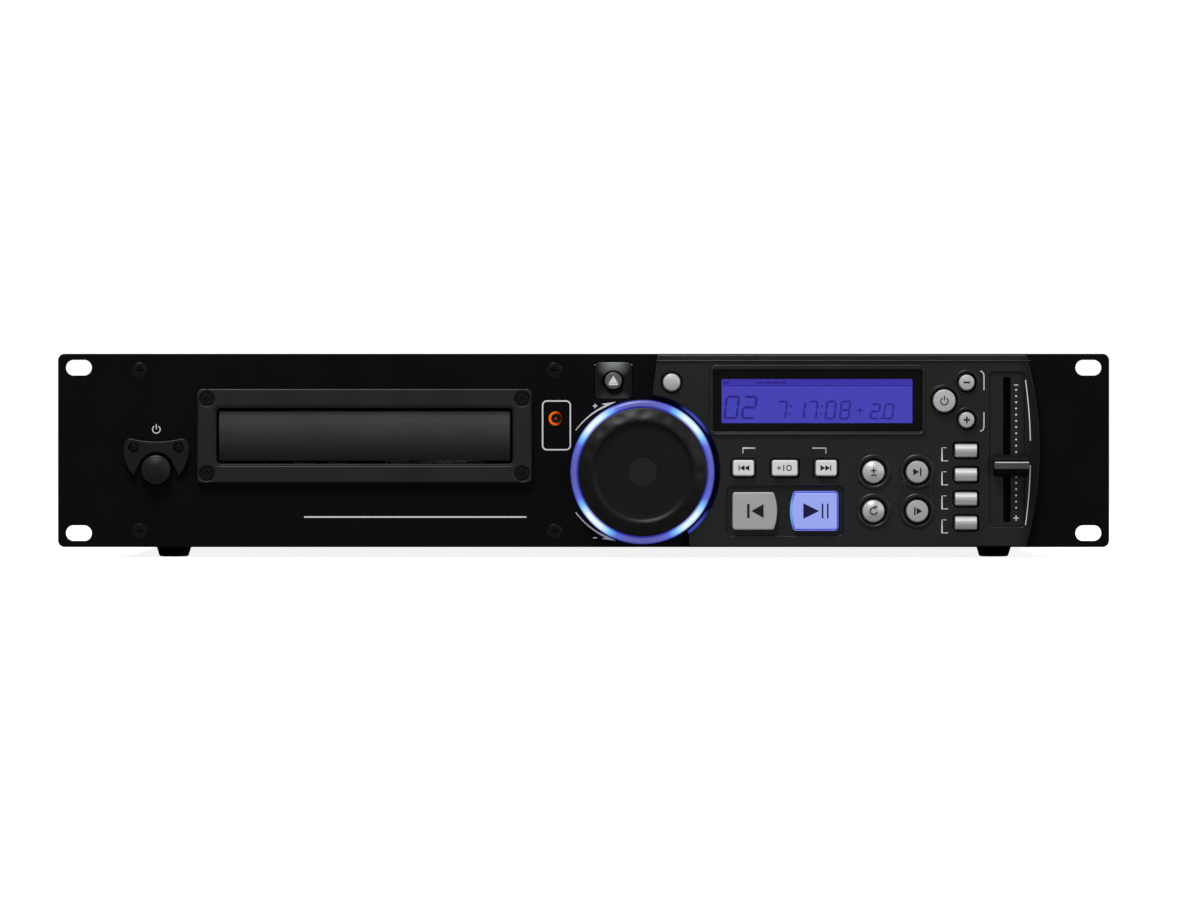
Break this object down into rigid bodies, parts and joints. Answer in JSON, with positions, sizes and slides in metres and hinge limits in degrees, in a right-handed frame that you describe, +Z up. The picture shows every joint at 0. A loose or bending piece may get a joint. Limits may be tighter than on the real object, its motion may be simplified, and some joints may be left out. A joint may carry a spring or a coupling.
{
  "type": "dj disc player",
  "caption": "Rack-width compact disc player for DJ use, with a motor-driven front tray, lit jog wheel, pitch fader, display and sprung keys, on moulded feet.",
  "frame": {"origin": "on the table under the middle of the player's bounding box", "axes": "+X to the right seen from the front, +Y to the rear, +Z up"},
  "size_m": [0.484, 0.276, 0.094],
  "materials": {
    "black_paint": "fine-textured satin black paint",
    "black_sheet": "satin black powder coat",
    "dark_plastic": "satin dark grey moulding",
    "door_plastic": "smooth satin grey",
    "fascia_plastic": "satin charcoal moulding",
    "silver_plastic": "silver-white painted moulding",
    "lit_plastic": "translucent, lit blue from behind",
    "ring_plastic": "translucent, lit violet-blue from behind",
    "black_plastic": "satin black moulding",
    "grey_plastic": "glass-filled grey moulding",
    "white_plastic": "natural acetal",
    "steel": "plain plated steel",
    "green_board": "green solder mask",
    "rubber": "ground square belt",
    "acrylic": "smoked clear acrylic",
    "lcd_blue": "backlit blue display",
    "amber_plastic": "clear orange lens"
  },
  "bodies": {
    "player": {"front_panel": "black_paint", "chassis_pan": "black_sheet", "rear_panel": "black_sheet", "top_cover": "black_sheet", "foot_front_left": "black_plastic", "foot_front_right": "black_plastic", "foot_rear_left": "black_plastic", "foot_rear_right": "black_plastic", "drawer_bezel": "dark_plastic", "power_escutcheon": "dark_plastic", "eject_dish": "dark_plastic", "control_fascia": "fascia_plastic", "display_window": "acrylic", "lcd_module": "lcd_blue", "jog_light_ring": "ring_plastic", "remote_sensor_lens": "amber_plastic", "fader_body": "steel", "control_board": "green_board", "main_board": "green_board", "mains_transformer": "steel", "mains_inlet": "black_plastic", "output_jacks": "black_plastic", "loader_chassis": "black_plastic", "clamp_bridge": "steel", "loading_motor": "steel", "loading_belt": "rubber"},
    "tray": {"disc_tray": "black_plastic", "tray_door": "door_plastic"},
    "drive_gear": {"drive_gear": "white_plastic"},
    "pulley_gear": {"pulley_gear": "white_plastic"},
    "motor_pulley": {"motor_pulley": "white_plastic"},
    "lift_slider": {"lift_slider": "white_plastic"},
    "traverse": {"traverse_frame": "grey_plastic", "guide_rod": "steel", "spindle_motor": "steel"},
    "turntable": {"turntable": "black_plastic"},
    "laser_pickup": {"laser_pickup": "black_plastic"},
    "sled_gear": {"sled_gear": "white_plastic"},
    "clamp_puck": {"clamp_puck": "black_plastic"},
    "jog_wheel": {"jog_wheel": "black_plastic"},
    "fader_knob": {"fader_knob": "black_plastic"},
    "power_button": {"power_button": "dark_plastic"},
    "eject_button": {"eject_button": "silver_plastic"},
    "jog_mode_button": {"jog_mode_button": "silver_plastic"},
    "pitch_range_button": {"pitch_range_button": "silver_plastic"},
    "loop_in_button": {"loop_in_button": "silver_plastic"},
    "reloop_button": {"reloop_button": "silver_plastic"},
    "loop_out_button": {"loop_out_button": "silver_plastic"},
    "pitch_on_button": {"pitch_on_button": "silver_plastic"},
    "bend_down_button": {"bend_down_button": "silver_plastic"},
    "bend_up_button": {"bend_up_button": "silver_plastic"},
    "track_back_button": {"track_back_button": "silver_plastic"},
    "plus_ten_button": {"plus_ten_button": "silver_plastic"},
    "track_forward_button": {"track_forward_button": "silver_plastic"},
    "repeat_button": {"repeat_button": "silver_plastic"},
    "program_button": {"program_button": "silver_plastic"},
    "single_button": {"single_button": "silver_plastic"},
    "time_button": {"time_button": "silver_plastic"},
    "cue_button": {"cue_button": "silver_plastic"},
    "play_button": {"play_button": "lit_plastic"}
  },
  "joints": [
    {"name": "tray_slide", "type": "slide", "parent": "player", "child": "tray", "axis": [0, -1, 0], "range_m": [0, 0.136]},
    {"name": "drive_gear_spin", "type": "hinge", "parent": "player", "child": "drive_gear", "pos_m": [-0.0628, -0.0983, 0.045], "axis": [0, 0, 1], "continuous": true},
    {"name": "pulley_gear_spin", "type": "hinge", "parent": "player", "child": "pulley_gear", "pos_m": [-0.0858, -0.0983, 0.042], "axis": [0, 0, 1], "continuous": true},
    {"name": "motor_pulley_spin", "type": "hinge", "parent": "player", "child": "motor_pulley", "pos_m": [-0.1478, -0.0983, 0.04], "axis": [0, 0, 1], "continuous": true},
    {"name": "lift_slide", "type": "slide", "parent": "player", "child": "lift_slider", "axis": [1, 0, 0], "range_m": [0, 0.018]},
    {"name": "traverse_lift", "type": "hinge", "parent": "player", "child": "traverse", "pos_m": [-0.1008, 0.0297, 0.045], "axis": [-1, 0, 0], "range_deg": [0, 6.11]},
    {"name": "turntable_spin", "type": "hinge", "parent": "traverse", "child": "turntable", "pos_m": [-0.1008, -0.05389, 0.04612], "axis": [0, -0.1063, 0.9943], "continuous": true},
    {"name": "pickup_slide", "type": "slide", "parent": "traverse", "child": "laser_pickup", "axis": [0, 0.9943, 0.1063], "range_m": [0, 0.033]},
    {"name": "sled_gear_spin", "type": "hinge", "parent": "traverse", "child": "sled_gear", "pos_m": [-0.1362, -0.01213, 0.05058], "axis": [0, -0.1063, 0.9943], "continuous": true},
    {"name": "clamp_puck_spin", "type": "hinge", "parent": "player", "child": "clamp_puck", "pos_m": [-0.1008, -0.0533, 0.0705], "axis": [0, 0, 1], "continuous": true},
    {"name": "jog_wheel_spin", "type": "hinge", "parent": "player", "child": "jog_wheel", "pos_m": [0.0271, -0.125, 0.0396], "axis": [0, 1, 0], "continuous": true},
    {"name": "fader_slide", "type": "slide", "parent": "player", "child": "fader_knob", "axis": [0, 0, 1], "range_m": [-0.0234, 0.0366]},
    {"name": "power_press", "type": "slide", "parent": "player", "child": "power_button", "axis": [0, 1, 0], "range_m": [0, 0.003], "stiffness_N_per_m": 300},
    {"name": "eject_press", "type": "slide", "parent": "player", "child": "eject_button", "axis": [0, 1, 0], "range_m": [0, 0.001], "stiffness_N_per_m": 200},
    {"name": "jog_mode_press", "type": "slide", "parent": "player", "child": "jog_mode_button", "axis": [0, 1, 0], "range_m": [0, 0.001], "stiffness_N_per_m": 200},
    {"name": "pitch_range_press", "type": "slide", "parent": "player", "child": "pitch_range_button", "axis": [0, 1, 0], "range_m": [0, 0.001], "stiffness_N_per_m": 200},
    {"name": "loop_in_press", "type": "slide", "parent": "player", "child": "loop_in_button", "axis": [0, 1, 0], "range_m": [0, 0.001], "stiffness_N_per_m": 200},
    {"name": "reloop_press", "type": "slide", "parent": "player", "child": "reloop_button", "axis": [0, 1, 0], "range_m": [0, 0.001], "stiffness_N_per_m": 200},
    {"name": "loop_out_press", "type": "slide", "parent": "player", "child": "loop_out_button", "axis": [0, 1, 0], "range_m": [0, 0.001], "stiffness_N_per_m": 200},
    {"name": "pitch_on_press", "type": "slide", "parent": "player", "child": "pitch_on_button", "axis": [0, 1, 0], "range_m": [0, 0.001], "stiffness_N_per_m": 200},
    {"name": "bend_down_press", "type": "slide", "parent": "player", "child": "bend_down_button", "axis": [0, 1, 0], "range_m": [0, 0.001], "stiffness_N_per_m": 200},
    {"name": "bend_up_press", "type": "slide", "parent": "player", "child": "bend_up_button", "axis": [0, 1, 0], "range_m": [0, 0.001], "stiffness_N_per_m": 200},
    {"name": "track_back_press", "type": "slide", "parent": "player", "child": "track_back_button", "axis": [0, 1, 0], "range_m": [0, 0.001], "stiffness_N_per_m": 200},
    {"name": "plus_ten_press", "type": "slide", "parent": "player", "child": "plus_ten_button", "axis": [0, 1, 0], "range_m": [0, 0.001], "stiffness_N_per_m": 200},
    {"name": "track_forward_press", "type": "slide", "parent": "player", "child": "track_forward_button", "axis": [0, 1, 0], "range_m": [0, 0.001], "stiffness_N_per_m": 200},
    {"name": "repeat_press", "type": "slide", "parent": "player", "child": "repeat_button", "axis": [0, 1, 0], "range_m": [0, 0.001], "stiffness_N_per_m": 200},
    {"name": "program_press", "type": "slide", "parent": "player", "child": "program_button", "axis": [0, 1, 0], "range_m": [0, 0.001], "stiffness_N_per_m": 200},
    {"name": "single_press", "type": "slide", "parent": "player", "child": "single_button", "axis": [0, 1, 0], "range_m": [0, 0.001], "stiffness_N_per_m": 200},
    {"name": "time_press", "type": "slide", "parent": "player", "child": "time_button", "axis": [0, 1, 0], "range_m": [0, 0.001], "stiffness_N_per_m": 200},
    {"name": "cue_press", "type": "slide", "parent": "player", "child": "cue_button", "axis": [0, 1, 0], "range_m": [0, 0.001], "stiffness_N_per_m": 200},
    {"name": "play_press", "type": "slide", "parent": "player", "child": "play_button", "axis": [0, 1, 0], "range_m": [0, 0.001], "stiffness_N_per_m": 200}
  ],
  "couplings": [
    {"joint": "drive_gear_spin", "follows": "tray_slide", "rad_per_m": -72.727},
    {"joint": "pulley_gear_spin", "follows": "tray_slide", "rad_per_m": 206.06},
    {"joint": "motor_pulley_spin", "follows": "tray_slide", "rad_per_m": 663.97},
    {"joint": "traverse_lift", "follows": "lift_slide", "rad_per_m": 5.9167},
    {"joint": "sled_gear_spin", "follows": "pickup_slide", "rad_per_m": 156.25}
  ]
}
